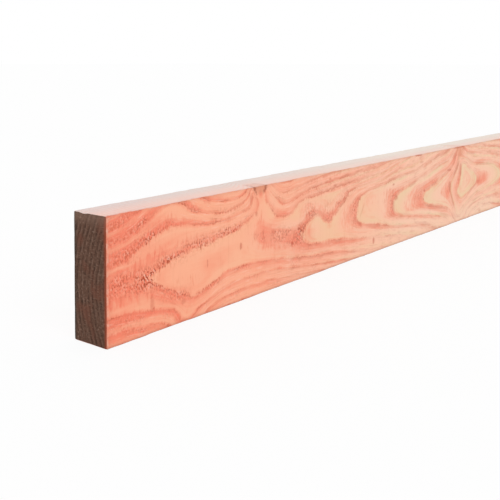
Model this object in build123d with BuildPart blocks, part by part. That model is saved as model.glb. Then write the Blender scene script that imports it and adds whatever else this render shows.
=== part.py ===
"""Sawn timber stud: one length of treated softwood framing, standing on its narrow edge.

The frame has +X along the length, +Y through the thickness and +Z up the depth.
The origin is under the middle of the stud, on the surface that it stands on.
"""

import os

from build123d import *

# Driving dimensions, in millimetres
STUD_LENGTH = 2400.0  # a stock length of wall studs
STUD_DEPTH = 120.0  # the wide face, which stands upright
STUD_THICKNESS = 45.0  # the narrow edge, which rests on the floor
ARRIS_RADIUS = 1.0  # the four long corners, dulled by the saw and by handling
END_BREAK = 0.5  # the corners round each end, broken by the crosscut saw

# Each end face is a plane across the length, at this distance from the middle
END_DISTANCE = STUD_LENGTH / 2

with BuildPart() as stud:
    # The sawn section, drawn on the near end with its foot on the floor
    with BuildSketch(Plane.YZ.offset(-END_DISTANCE)) as section:
        Rectangle(STUD_THICKNESS, STUD_DEPTH, align=(Align.CENTER, Align.MIN))
        fillet(section.vertices(), ARRIS_RADIUS)
    extrude(amount=STUD_LENGTH)

    # The crosscuts leave both ends square, with a small break all round
    near_end, far_end = stud.faces().filter_by(Axis.X).sort_by(Axis.X)
    chamfer(near_end.edges() + far_end.edges(), END_BREAK)

stud.part.label = "stud"

os.makedirs("parts", exist_ok=True)
export_step(stud.part, "parts/stud.step")
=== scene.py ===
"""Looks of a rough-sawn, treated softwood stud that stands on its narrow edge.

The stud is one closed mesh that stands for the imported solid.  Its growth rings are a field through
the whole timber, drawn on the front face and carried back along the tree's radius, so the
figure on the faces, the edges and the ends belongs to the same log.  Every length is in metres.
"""

import logging
import math
from collections.abc import Mapping, Sequence
from dataclasses import astuple, dataclass, field
from enum import Enum, IntEnum
from functools import reduce
from typing import TypeVar

import bpy
import numpy as np
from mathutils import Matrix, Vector


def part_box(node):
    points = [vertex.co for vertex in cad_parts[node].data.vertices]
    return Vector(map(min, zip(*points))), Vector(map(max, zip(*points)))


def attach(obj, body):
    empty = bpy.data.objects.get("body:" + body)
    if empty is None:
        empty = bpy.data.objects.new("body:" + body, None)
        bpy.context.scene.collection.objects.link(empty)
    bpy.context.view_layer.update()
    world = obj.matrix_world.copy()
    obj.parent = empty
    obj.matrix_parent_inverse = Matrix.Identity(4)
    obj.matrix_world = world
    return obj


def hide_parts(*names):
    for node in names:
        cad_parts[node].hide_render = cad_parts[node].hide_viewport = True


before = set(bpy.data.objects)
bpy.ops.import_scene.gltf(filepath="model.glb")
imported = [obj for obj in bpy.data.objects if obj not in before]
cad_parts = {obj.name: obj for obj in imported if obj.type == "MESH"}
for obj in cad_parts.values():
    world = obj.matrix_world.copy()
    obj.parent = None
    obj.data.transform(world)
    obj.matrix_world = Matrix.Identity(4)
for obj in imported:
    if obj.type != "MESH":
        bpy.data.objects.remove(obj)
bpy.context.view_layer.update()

LOG = logging.getLogger("timber_stud")
STUD_NODE = "stud"
STUD_BODY = "root"
PIECE_NAME = "sawn_stud"
MM = 0.001

Colour = tuple[float, float, float, float]
Point = tuple[float, float]

WHITE: Colour = (1.0, 1.0, 1.0, 1.0)

# The middle value of every random texture
TEXTURE_MIDDLE = 0.5


def display_colour(red: int, green: int, blue: int) -> Colour:
    """Turns a colour as a screen shows it into the linear colour that a shader takes.

    Args:
        red: Red share, from 0 to 255.
        green: Green share, from 0 to 255.
        blue: Blue share, from 0 to 255.

    Returns:
        The linear red, green and blue, and an alpha of 1.
    """
    shares = (channel / 255 for channel in (red, green, blue))
    # The curve of screen colours: straight near black, and a power above
    linear = [
        share / 12.92 if share <= 0.04045 else ((share + 0.055) / 1.055) ** 2.4 for share in shares
    ]
    return (linear[0], linear[1], linear[2], 1.0)


def add_object(name: str, data: bpy.types.ID) -> bpy.types.Object:
    """Adds an object to the scene.

    Args:
        name: Its name.
        data: Its mesh, light or camera.

    Returns:
        The new object, at the origin.
    """
    thing = bpy.data.objects.new(name, data)
    bpy.context.scene.collection.objects.link(thing)
    return thing


class Layer(Enum):
    """The values that the stud's mesh carries at its vertices, for its finishes."""

    RING = "ring"
    RING_WIDTH = "ring_width"
    BARK = "bark"
    HEART = "heart"
    TOP_SHEEN = "faded"
    SHADE_AND_DARK_RIMS = "grime"
    SOAKED = "soaked"
    TORN = "torn"


class Side(IntEnum):
    """The material slots of the stud."""

    SAWN = 0
    CROSSCUT = 1


class Signal:
    """A value that varies over a surface: one socket, with arithmetic that adds Math nodes."""

    def __init__(self, bench: "ShaderBench", socket: bpy.types.NodeSocket) -> None:
        """Wraps an output socket of a node on the bench."""
        self.bench = bench
        self.socket = socket

    def _math(self, operation: str, *values: "Signal | float") -> "Signal":
        """Adds one Math node on the values given and returns its result."""
        node = self.bench.add("ShaderNodeMath", {"operation": operation}, dict(enumerate(values)))
        return Signal(self.bench, node.outputs[0])

    def __add__(self, other: "Signal | float") -> "Signal":
        """Gives this value plus another."""
        return self._math("ADD", self, other)

    def __radd__(self, other: float) -> "Signal":
        """Gives a number plus this value."""
        return self._math("ADD", other, self)

    def __sub__(self, other: "Signal | float") -> "Signal":
        """Gives this value less another."""
        return self._math("SUBTRACT", self, other)

    def __rsub__(self, other: float) -> "Signal":
        """Gives a number less this value."""
        return self._math("SUBTRACT", other, self)

    def __mul__(self, other: "Signal | float") -> "Signal":
        """Gives this value times another."""
        return self._math("MULTIPLY", self, other)

    def __rmul__(self, other: float) -> "Signal":
        """Gives a number times this value."""
        return self._math("MULTIPLY", other, self)

    def __truediv__(self, other: "Signal | float") -> "Signal":
        """Gives this value divided by another."""
        return self._math("DIVIDE", self, other)

    def fraction(self) -> "Signal":
        """Gives what is left of this value past the last whole number."""
        return self._math("FRACT", self)

    def whole(self) -> "Signal":
        """Gives the last whole number below this value."""
        return self._math("FLOOR", self)

    def size(self) -> "Signal":
        """Gives this value without its sign."""
        return self._math("ABSOLUTE", self)

    def larger(self, other: "Signal | float") -> "Signal":
        """Gives the larger of this value and another."""
        return self._math("MAXIMUM", self, other)

    def rise(self, low: float, high: float) -> "Signal":
        """Gives a smooth step of this value.

        Args:
            low: The value at which the step is 0; it may be above high, for a step that falls.
            high: The value at which the step is 1.

        Returns:
            The step, held between 0 and 1.
        """
        settings = {"interpolation_type": "SMOOTHSTEP"}
        falls = low > high
        inputs = {"Value": self, "From Min": min(low, high), "From Max": max(low, high)}
        inputs |= {"To Min": 1.0 if falls else 0.0, "To Max": 0.0 if falls else 1.0}
        node = self.bench.add("ShaderNodeMapRange", settings, inputs)
        return Signal(self.bench, node.outputs["Result"])

    def held(self) -> "Signal":
        """Gives this value kept between 0 and 1."""
        node = self.bench.add("ShaderNodeClamp", {}, {"Value": self})
        return Signal(self.bench, node.outputs["Result"])

    def swing(self, amount: "Signal | float") -> "Signal":
        """Gives how far a random texture is from its middle value, times an amount."""
        return (self - TEXTURE_MIDDLE) * amount


Input = Signal | bpy.types.NodeSocket | float | Sequence[float]
Place = TypeVar("Place", np.ndarray, Signal)


@dataclass(frozen=True)
class Texture:
    """A smooth random texture.

    Attributes:
        grain: The size of its patches along X, Y and Z.
        detail: How many finer layers it has.
        shift: How far its place is moved, so that two textures of one grain differ.
    """

    grain: tuple[float, float, float]
    detail: float = 1.0
    shift: float = 0.0


class ShaderBench:
    """A node tree in the making, with the few kinds of node that the finishes use."""

    def __init__(self, tree: bpy.types.NodeTree) -> None:
        """Starts from an empty tree.

        Args:
            tree: The node tree of a material or of the world.
        """
        self.tree = tree
        tree.nodes.clear()

    @classmethod
    def for_material(cls, name: str) -> tuple["ShaderBench", bpy.types.Material]:
        """Makes a new material with an empty tree.

        Args:
            name: The material's name.

        Returns:
            The bench and the material.
        """
        material = bpy.data.materials.new(name)
        material.use_nodes = True
        return cls(material.node_tree), material

    def add(
        self, kind: str, settings: Mapping[str, object], inputs: Mapping[int | str, Input]
    ) -> bpy.types.Node:
        """Adds a node.

        Args:
            kind: The node's type name.
            settings: Its properties, which are set first because they can change its sockets.
            inputs: What goes into its sockets, by name or number: a link or a plain value.

        Returns:
            The new node.
        """
        node = self.tree.nodes.new(kind)
        for name, value in settings.items():
            setattr(node, name, value)
        for key, value in inputs.items():
            socket = node.inputs[key]
            if isinstance(value, Signal):
                self.tree.links.new(value.socket, socket)
            elif isinstance(value, bpy.types.NodeSocket):
                self.tree.links.new(value, socket)
            else:
                socket.default_value = value
        return node

    def place(self) -> bpy.types.NodeSocket:
        """Gives the place on the piece, in metres in the row's frame."""
        return self.add("ShaderNodeTexCoord", {}, {}).outputs["Object"]

    def axes(self) -> tuple[Signal, Signal, Signal]:
        """Gives the three parts of the place on the piece."""
        parts = self.add("ShaderNodeSeparateXYZ", {}, {"Vector": self.place()}).outputs
        return Signal(self, parts["X"]), Signal(self, parts["Y"]), Signal(self, parts["Z"])

    def layer(self, layer: Layer) -> Signal:
        """Gives a value that the mesh carries at its vertices."""
        node = self.add("ShaderNodeAttribute", {"attribute_name": layer.value}, {})
        return Signal(self, node.outputs["Fac"])

    def _noise_at(self, spot: bpy.types.Node, detail: float) -> Signal:
        """Adds a smooth random texture, read at the place that a node gives."""
        inputs = {"Vector": spot.outputs[0], "Scale": 1.0, "Detail": detail}
        node = self.add("ShaderNodeTexNoise", {"noise_dimensions": "3D"}, inputs)
        return Signal(self, node.outputs["Fac"])

    def noise(self, texture: Texture, moved: float = 0.0) -> Signal:
        """Adds a random texture.

        Args:
            texture: The texture.
            moved: How far it is moved from its own place, as a share of its grain.

        Returns:
            The texture's value, mostly between 0.25 and 0.75.
        """
        inverse = [1 / size for size in texture.grain]
        shift = [texture.shift + moved] * len(inverse)
        settings = {"operation": "MULTIPLY_ADD"}
        spot = self.add("ShaderNodeVectorMath", settings, {0: self.place(), 1: inverse, 2: shift})
        return self._noise_at(spot, texture.detail)

    def grain(self, ring: Signal, length: float, lines: float, detail: float = 2.0) -> Signal:
        """Adds a random texture whose streaks follow the growth rings.

        Args:
            ring: The ring number.
            length: How long a streak is along the stud.
            lines: How many streaks lie side by side in one ring.
            detail: How many finer layers it has.

        Returns:
            The texture's value, mostly between 0.25 and 0.75.
        """
        along, across, _ = self.axes()
        inputs = {0: along / length, 1: ring * lines, 2: across / length}
        return self._noise_at(self.add("ShaderNodeCombineXYZ", {}, inputs), detail)

    def by_ring(self, ring: Signal) -> Signal:
        """Gives each growth ring a random share of its own, between 0 and 1."""
        node = self.add("ShaderNodeTexWhiteNoise", {"noise_dimensions": "1D"}, {"W": ring.whole()})
        return Signal(self, node.outputs["Value"])

    def blend(self, share: Signal, first: Input, second: Input) -> bpy.types.NodeSocket:
        """Mixes two colours.

        Args:
            share: How much of the second colour there is.
            first: The colour where the share is 0.
            second: The colour where the share is 1.

        Returns:
            The mixed colour.
        """
        inputs = {0: share.held(), 6: first, 7: second}
        return self.add("ShaderNodeMix", {"data_type": "RGBA"}, inputs).outputs[2]

    def coats(self, base: Input, *coats: tuple[Signal, Input]) -> Input:
        """Lays colours over one another.

        Args:
            base: The lowest colour.
            coats: How much there is of each colour above it, and the colour, from below.

        Returns:
            The colour that shows.
        """
        for share, colour in coats:
            base = self.blend(share, base, colour)
        return base

    def bump(self, height: Signal, depth: float) -> bpy.types.NodeSocket:
        """Turns a height into shading.

        Args:
            height: The height, from 0 to 1.
            depth: What a height of 1 stands for, in metres.

        Returns:
            The bumped normal.
        """
        inputs = {"Strength": 1.0, "Distance": depth, "Height": height}
        return self.add("ShaderNodeBump", {}, inputs).outputs["Normal"]

    def surface(self, shader: bpy.types.NodeSocket, kind: str = "ShaderNodeOutputMaterial") -> None:
        """Ends the tree in an output.

        Args:
            shader: The finished shader.
            kind: The type name of the output node.
        """
        self.add(kind, {}, {"Surface": shader})


@dataclass(frozen=True)
class DullSurface:
    """How a rough, dull surface takes the light.

    Attributes:
        smoothest: Its roughness where it is smoothest.
        spread: How much rougher it is where it is roughest.
        gloss: How much it reflects, where 0.5 is ordinary.
        relief: How deep its finest roughness is, in metres.
    """

    smoothest: float
    spread: float
    gloss: float
    relief: float

    def end_tree(self, bench: ShaderBench, colour: Input, rough: Signal, height: Signal) -> None:
        """Ends a node tree in this surface.

        Args:
            bench: The node tree.
            colour: The colour.
            rough: Where the surface is rough, from 0 to 1.
            height: The height of its finest roughness, from 0 to 1.
        """
        inputs = {
            "Base Color": colour,
            "Roughness": self.smoothest + rough * self.spread,
            "Normal": bench.bump(height, self.relief),
            "Specular IOR Level": self.gloss,
        }
        bench.surface(bench.add("ShaderNodeBsdfPrincipled", {}, inputs).outputs["BSDF"])


# Places on the front face are drawn in hundredths of the stud's depth. Along the stud, this is how
# long that unit comes out with the camera of the photograph
DRAWN_LENGTH = 0.9895


def face_unit(low: Vector, high: Vector) -> float:
    """Gives a hundredth of the stud's depth, from the corners of its box."""
    return (high.z - low.z) / 100


@dataclass(frozen=True)
class RingLine:
    """One growth ring where it meets the front face.

    Attributes:
        ring: Its number, counted outwards from the pith; a share of a ring is a place between two.
        points: Places along it, in hundredths of the stud's depth: along from the near end, and up
            from the floor.
    """

    ring: float
    points: tuple[Point, ...]


@dataclass(frozen=True)
class Spot:
    """An oval place on the front face, in hundredths of the stud's depth.

    Attributes:
        along: Where its middle is, along from the near end.
        up: Where its middle is, up from the floor.
        half_along: Half of its size along the stud.
        half_up: Half of its size up the face.
        lean: How far it rises for each unit along the stud.
    """

    along: float
    up: float
    half_along: float
    half_up: float
    lean: float = field(default=0.0, kw_only=True)

    def offsets(self, along: Place, up: Place) -> tuple[Place, Place]:
        """Gives how far places are from its middle.

        Args:
            along: How far along the stud the places are, as numbers or as a signal.
            up: How far up the face they are, in the same form.

        Returns:
            How far they are along and up, each as a share of its half size.
        """
        beside = (along - self.along) / self.half_along
        rise = self.lean * self.half_along / self.half_up
        return beside, (up - self.up) / self.half_up - beside * rise


@dataclass(frozen=True)
class Knot(Spot):
    """A branch in the timber, which runs outwards from the pith; its spot is on the front face.

    Attributes:
        bark: How dark its rim is, from 0 to 1.
        heart: How dark its inside is, from 0 to 1.
        pull: How many rings it draws outwards with it.
        reach_along: How far along the stud the grain bends to it, in hundredths of the depth.
        reach_up: How far up the face the grain bends to it, in hundredths of the depth.
    """

    bark: float
    heart: float
    pull: float
    reach_along: float
    reach_up: float


@dataclass(frozen=True)
class Mark(Spot):
    """A small dark mark on the front face, such as a pin knot or a bruise.

    Attributes:
        darkness: How dark it is, from 0 to 1.
    """

    darkness: float


@dataclass(frozen=True)
class Patch(Spot):
    """A place on the front face that took up more or less dye than the rest, or that the saw tore.

    Attributes:
        dye: How much more dye it has, or less if below 0.
        torn: How much of it is torn, from 0 to 1.
    """

    dye: float
    torn: float = 0.0


RING_LINES = (
    RingLine(10, (
        (180, 94), (187, 86), (184, 79), (176, 74), (165, 70), (152, 65), (126, 61), (96, 57),
        (75, 55), (58, 50), (48, 46), (48, 42), (56, 35), (70, 28), (88, 21), (103, 20), (120, 25),
        (135, 30), (152, 32), (176, 31), (215, 27), (251, 22), (280, 19), (313, 16), (345, 11),
        (385, 7), (420, 3),
    )),
    RingLine(10, (
        (196, 91), (200, 82), (206, 73), (218, 67), (231, 66), (243, 71), (253, 78), (268, 79),
        (294, 80), (334, 83), (397, 86),
    )),
    RingLine(9, (
        (416, 80), (376, 78), (352, 76), (340, 71), (325, 62), (312, 53), (303, 45), (297, 51),
        (288, 57), (276, 59), (264, 55), (258, 50), (257, 42), (261, 34), (272, 31), (300, 29),
        (330, 27), (350, 24), (370, 22), (400, 18), (430, 14), (460, 9), (490, 4),
    )),
    RingLine(8, (
        (498, 80), (441, 76), (400, 72), (383, 71), (370, 68), (362, 62), (359, 53), (359, 44),
        (364, 38), (375, 35), (392, 33), (410, 29), (430, 25), (450, 22), (475, 19), (500, 15),
        (525, 10), (548, 4),
    )),
    RingLine(7, (
        (590, 85), (550, 78), (515, 71), (490, 68), (470, 63), (455, 60), (445, 55), (441, 49),
        (440, 41), (447, 36), (465, 30), (500, 26), (530, 22), (558, 17), (582, 11), (596, 3),
    )),
    RingLine(6, (
        (608, 83), (598, 74), (585, 69), (565, 64), (545, 58), (530, 54), (520, 53), (516, 46),
        (518, 39), (535, 34), (560, 29), (583, 24), (597, 17), (606, 7),
    )),
    RingLine(5, (
        (619, 79), (616, 73), (608, 66), (600, 60), (593, 54), (592, 47), (596, 38), (600, 31),
        (606, 24), (612, 10),
    )),
    RingLine(4, ((627, 76), (627, 66), (624, 57), (618, 47), (613, 41), (618, 35))),
    RingLine(4, (
        (641, 76), (650, 70), (662, 65), (672, 59), (677, 51), (674, 44), (662, 40), (650, 36),
        (636, 31),
    )),
    RingLine(5, ((655, 78), (670, 74), (690, 72), (722, 69))),
    RingLine(4.5, ((648, 27), (661, 31), (676, 36), (690, 39))),
    RingLine(5, ((652, 22), (668, 27), (686, 31), (708, 33))),
    RingLine(6, ((652, 88), (682, 85), (718, 81))),
    RingLine(6, ((648, 14), (666, 19), (690, 22), (715, 23))),
    RingLine(11, (
        (0, 60), (10, 61), (22, 64), (32, 70), (45, 75), (58, 79), (70, 81), (88, 80), (112, 76),
        (138, 75), (155, 77), (168, 81), (175, 88),
    )),
    RingLine(11, (
        (202, 92), (208, 88), (214, 83), (219, 80), (230, 78), (243, 81), (268, 86), (318, 90),
        (376, 93),
    )),
    RingLine(11, ((0, 23), (25, 22), (45, 19), (62, 15), (74, 12), (78, 7), (80, 1))),
    RingLine(11, (
        (93, 2), (102, 8), (118, 12), (132, 17), (150, 20), (180, 20), (205, 19), (230, 16),
        (252, 13), (280, 10), (310, 7), (352, 3),
    )),
    RingLine(12, ((0, 78), (15, 79), (28, 83), (40, 89), (52, 95), (62, 100))),
    RingLine(12, (
        (84, 97), (88, 92), (98, 89), (113, 86), (130, 83), (143, 83), (160, 87), (170, 93),
    )),
    RingLine(12, ((208, 95), (216, 90), (226, 89), (243, 91), (268, 94), (309, 98))),
    RingLine(12, ((0, 10), (25, 9), (45, 7), (60, 5), (69, 1))),
    RingLine(12, (
        (110, 2), (122, 7), (140, 10), (170, 11), (200, 10), (225, 8), (252, 6), (285, 3),
    )),
    RingLine(13, ((0, 88), (12, 91), (24, 95), (36, 100))),
    RingLine(13, ((108, 98), (120, 95), (135, 93), (150, 92), (163, 95), (168, 99))),
    RingLine(10.55, ((0, 54), (20, 55), (42, 58), (60, 62), (80, 66), (105, 69), (135, 71))),
    RingLine(10.55, ((0, 33), (25, 33), (45, 32), (60, 26), (75, 19))),
    RingLine(10.3, ((0, 43), (12, 43))),
    RingLine(9.08, ((192, 55), (207, 51), (224, 47), (246, 43))),
    RingLine(9.25, ((203, 58), (222, 55), (240, 52))),
    RingLine(9.25, ((198, 48), (218, 42), (240, 36))),
    RingLine(9.5, ((262, 66), (275, 66), (290, 64), (303, 57), (315, 64), (330, 73))),
    RingLine(9.72, ((208, 63), (227, 61), (246, 58))),
    RingLine(9.75, ((78, 43), (108, 43), (135, 46), (158, 49))),
    RingLine(9.65, ((180, 42), (190, 38), (230, 33))),
    RingLine(9.6, ((189, 88), (189, 78), (189, 68))),
    RingLine(7.6, ((410, 63), (405, 49), (411, 38))),
    RingLine(7.3, ((423, 48),)),
    RingLine(6.55, ((478, 48),)),
    RingLine(5.5, ((560, 47),)),
)

# The ring on the middle line of the front face, as (along, ring): it falls towards each whorl of
# branches and rises between them
HEART_LINE = (
    (-33, 10.5), (0, 10.3), (48, 10.0), (150, 9.6), (257, 9.0), (354, 8.0), (441, 7.0), (517, 6.0),
    (593, 5.0), (632, 4.0), (652, 3.8), (677, 4.0), (720, 4.8), (840, 6.2), (960, 7.0), (1040, 6.6),
    (1100, 5.8), (1160, 6.6), (1330, 8.4), (1500, 7.6), (1567, 6.3), (1630, 7.6), (1790, 9.4),
    (2030, 10.6),
)

KNOTS = (
    Knot(186.5, 101, 10, 9.5, 0.85, 0.75, 3.0, 11, 30),
    Knot(623, 99, 15, 14, 0.15, 0.6, 3.0, 22, 40),
    Knot(1104, 30, 6.5, 7.5, 0.9, 0.8, 3.2, 30, 32),
    Knot(1567, 72, 5.0, 6.0, 0.9, 0.8, 2.6, 26, 28),
    Knot(1905, 16, 6.0, 6.5, 0.8, 0.7, 2.8, 28, 30),
)

MARKS = (
    Mark(394, 13.5, 2.6, 4.6, 0.48), Mark(113, 42.5, 1.2, 4.0, 0.3),
    Mark(158, 49.5, 1.8, 3.8, 0.45), Mark(83, 17.0, 3.5, 2.5, 0.25),
    Mark(173, 88.3, 2.6, 5.5, 0.28), Mark(180.5, 75.0, 2.0, 2.5, 0.28),
    Mark(191, 55.0, 1.2, 5.0, 0.16), Mark(206, 53.0, 1.5, 4.5, 0.24),
    Mark(222, 48.5, 1.3, 5.0, 0.18), Mark(240, 46.5, 1.4, 5.0, 0.2), Mark(47, 24.0, 2.4, 7.0, 0.3),
    Mark(503, 99.2, 10.0, 1.4, 0.6), Mark(621, 99.4, 22.0, 1.7, 0.5),
    Mark(440, 71.0, 2.6, 1.5, 0.4), Mark(314, 85.0, 3.4, 1.5, 0.35), Mark(304, 93.0, 2.4, 1.3, 0.3),
    Mark(237, 38.0, 1.8, 2.0, 0.6), Mark(519, 54.0, 2.6, 1.7, 0.45), Mark(516, 43.5, 1.8, 1.8, 0.4),
    Mark(590, 72.0, 7.0, 2.0, 0.4), Mark(511, 90.0, 5.5, 1.8, 0.25),
    Mark(354, 43.0, 5.0, 5.0, 0.15), Mark(363, 37.5, 8.0, 2.6, 0.2, lean=-0.7),
    Mark(369, 51.0, 5.0, 3.0, 0.16, lean=1.4), Mark(446, 54.5, 5.0, 3.4, 0.3),
    Mark(439, 46.0, 4.0, 9.0, 0.16), Mark(487, 66.0, 12.0, 2.6, 0.25, lean=0.2),
    Mark(606, 90.0, 6.0, 4.0, 0.28, lean=0.85), Mark(613, 72.0, 10.0, 4.5, 0.34, lean=0.85),
    Mark(625, 69.0, 4.0, 10.0, 0.3), Mark(592, 50.0, 5.0, 8.0, 0.36),
    Mark(599, 34.0, 8.0, 5.0, 0.28, lean=-1.75), Mark(662, 38.5, 18.0, 2.6, 0.24, lean=0.37),
    Mark(684, 46.0, 6.0, 3.0, 0.16), Mark(548, 30.5, 28.0, 3.0, 0.1, lean=-0.22),
    Mark(468, 31.5, 24.0, 2.6, 0.12, lean=-0.2), Mark(437, 36.0, 12.0, 3.5, 0.16, lean=-0.15),
    Mark(392, 30.0, 16.0, 3.0, 0.12, lean=-0.2), Mark(518, 13.0, 24.0, 3.0, 0.16, lean=-0.2),
    Mark(577, 15.5, 18.0, 3.0, 0.16, lean=-0.25), Mark(605, 10.0, 8.0, 5.0, 0.12, lean=-0.6),
    Mark(705, 69.0, 30.0, 2.0, 0.2, lean=-0.1), Mark(663, 29.0, 14.0, 1.7, 0.14, lean=0.3),
    Mark(677, 23.5, 15.0, 1.7, 0.14, lean=0.1),
)

PATCHES = (
    Patch(40, 44, 12, 9, -0.05, 0.75), Patch(14, 45, 15, 8, 0.0, 0.5),
    Patch(72, 54, 20, 5, 0.0, 0.6), Patch(105, 61, 24, 6, 0.0, 0.6),
    Patch(142, 66, 22, 5, 0.0, 0.5), Patch(16, 67, 16, 7, 0.05, 0.55),
    Patch(40, 76, 14, 6, 0.05, 0.5), Patch(64, 81, 14, 4, 0.0, 0.35),
    Patch(14, 94, 14, 6, 0.1, 0.4), Patch(36, 87, 8, 6, 0.1, 0.45), Patch(72, 25, 20, 6, 0.3, 0.4),
    Patch(80, 24.5, 9, 3.5, 0.05, 0.75), Patch(18, 14, 18, 5, -0.05, 0.35),
    Patch(50, 8, 20, 8, -0.08, 0.1), Patch(142, 84, 20, 4, 0.0, 0.3),
    Patch(251, 45, 8, 8, 0.15, 0.8), Patch(222, 51, 18, 6, 0.0, 0.28),
    Patch(237, 38, 4, 3, 0.1, 0.5), Patch(268, 66, 10, 9, 0.05, 0.6),
    Patch(302, 62, 12, 9, 0.16, 0.5), Patch(340, 76, 16, 7, 0.0, 0.3),
    Patch(352, 50, 8, 12, 0.0, 0.25), Patch(438, 50, 6, 10, 0.0, 0.3),
    Patch(508, 52, 12, 8, -0.1, 0.3), Patch(269, 41, 10, 10, 0.4, 0.1), Patch(224, 47, 20, 9, -0.2),
    Patch(357, 52, 9, 14, -0.25), Patch(398, 50, 24, 14, -0.24), Patch(462, 48, 15, 9, -0.25),
    Patch(699, 47, 18, 7, 0.5), Patch(425, 50, 16, 14, -0.3), Patch(440, 66, 25, 6, -0.15),
    Patch(130, 43, 28, 7, 0.1), Patch(182, 92, 24, 8, 0.12), Patch(285, 90, 26, 8, 0.15),
    Patch(696, 56, 26, 10, 0.1), Patch(264, 49, 8, 10, 0.35), Patch(622, 52, 4, 14, 0.3),
    Patch(692, 73, 30, 3, 0.3), Patch(602, 52, 11, 26, 0.3), Patch(585, 44, 8, 9, 0.35),
    Patch(520, 50, 5, 10, 0.15), Patch(27, 90, 26, 7, 0.25), Patch(27, 66, 26, 7, 0.15),
    Patch(225, 28, 70, 11, 0.12), Patch(540, 6, 190, 9, -0.42), Patch(670, 10, 60, 12, -0.3),
    Patch(470, 19, 90, 8, -0.28), Patch(425, 72, 25, 6, -0.12), Patch(213, 51, 20, 6, -0.2),
    Patch(178, 54, 8, 9, -0.3), Patch(221, 67.5, 12, 3.2, 0.4), Patch(222, 78.5, 10, 3.0, -0.2),
    Patch(76, 40, 12, 8, -0.12), Patch(128, 87, 30, 9, -0.2), Patch(98, 28, 14, 6, 0.12),
    Patch(118, 43, 10, 6, 0.12), Patch(366, 47, 5, 8, 0.35), Patch(594, 85, 26, 13, 0.28),
    Patch(697, 42, 22, 6, 0.25), Patch(545, 55, 26, 7, 0.2), Patch(390, 92, 80, 9, 0.15),
    Patch(612, 85, 12, 12, 0.2), Patch(630, 93, 14, 9, 0.35),
    Patch(555, 27.5, 38, 3.4, 0.38, lean=-0.21), Patch(525, 21.6, 64, 2.8, 0.5, lean=-0.14),
    Patch(490, 15.7, 40, 2.4, 0.42, lean=-0.14), Patch(520, 27.2, 50, 2.2, -0.2, lean=-0.15),
    Patch(480, 21.7, 70, 2.4, -0.15, lean=-0.15), Patch(355, 21.5, 22, 3.0, 0.2, lean=-0.17),
    Patch(500, 6.0, 24, 2.0, 0.3, lean=-0.15), Patch(300, 13, 45, 7, 0.16, lean=-0.1),
    Patch(235, 25, 30, 6, 0.12), Patch(340, 84, 30, 7, 0.1), Patch(660, 48, 10, 8, 0.15),
    Patch(718, 13, 25, 8, -0.4), Patch(716, 63, 20, 4, -0.2), Patch(204, 82, 8, 10, -0.3),
    Patch(235, 59, 18, 5, -0.3), Patch(75, 90, 14, 8, -0.15), Patch(490, 43, 16, 7, -0.16),
    Patch(588, 66, 18, 6, 0.12), Patch(75, 7, 85, 7, -0.07),
    Patch(285, 86, 36, 9, 0.0, 0.28, lean=0.08), Patch(360, 84, 36, 8, 0.0, 0.25, lean=0.08),
    Patch(325, 70, 24, 7, 0.0, 0.4, lean=0.35), Patch(322, 61, 13, 4.5, -0.22, lean=0.75),
    Patch(285, 94, 40, 5, 0.12, lean=0.05),
)


@dataclass(frozen=True)
class DyedWood:
    """The colours of the timber where it took up much or little of the treatment.

    Attributes:
        pale: The pale wood between the rings' soft bands.
        clear: The palest wood, just inside a ring's hard line.
        band: The soft band of a ring, which drank more.
        line: The thin hard line on the inner side of a band.
        fleck: Torn fibres in the soft bands, dark with dye and with the painted shade of their pits.
    """

    pale: Input
    clear: Input
    band: Input
    line: Input
    fleck: Input

    def mixed(self, bench: ShaderBench, share: Signal, other: "DyedWood") -> "DyedWood":
        """Mixes these colours with others.

        Args:
            bench: The node tree.
            share: How much of the other colours there is.
            other: The other colours.

        Returns:
            The mixed colours.
        """
        pairs = zip(astuple(self), astuple(other))
        return DyedWood(*(bench.blend(share, mine, theirs) for mine, theirs in pairs))


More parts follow.
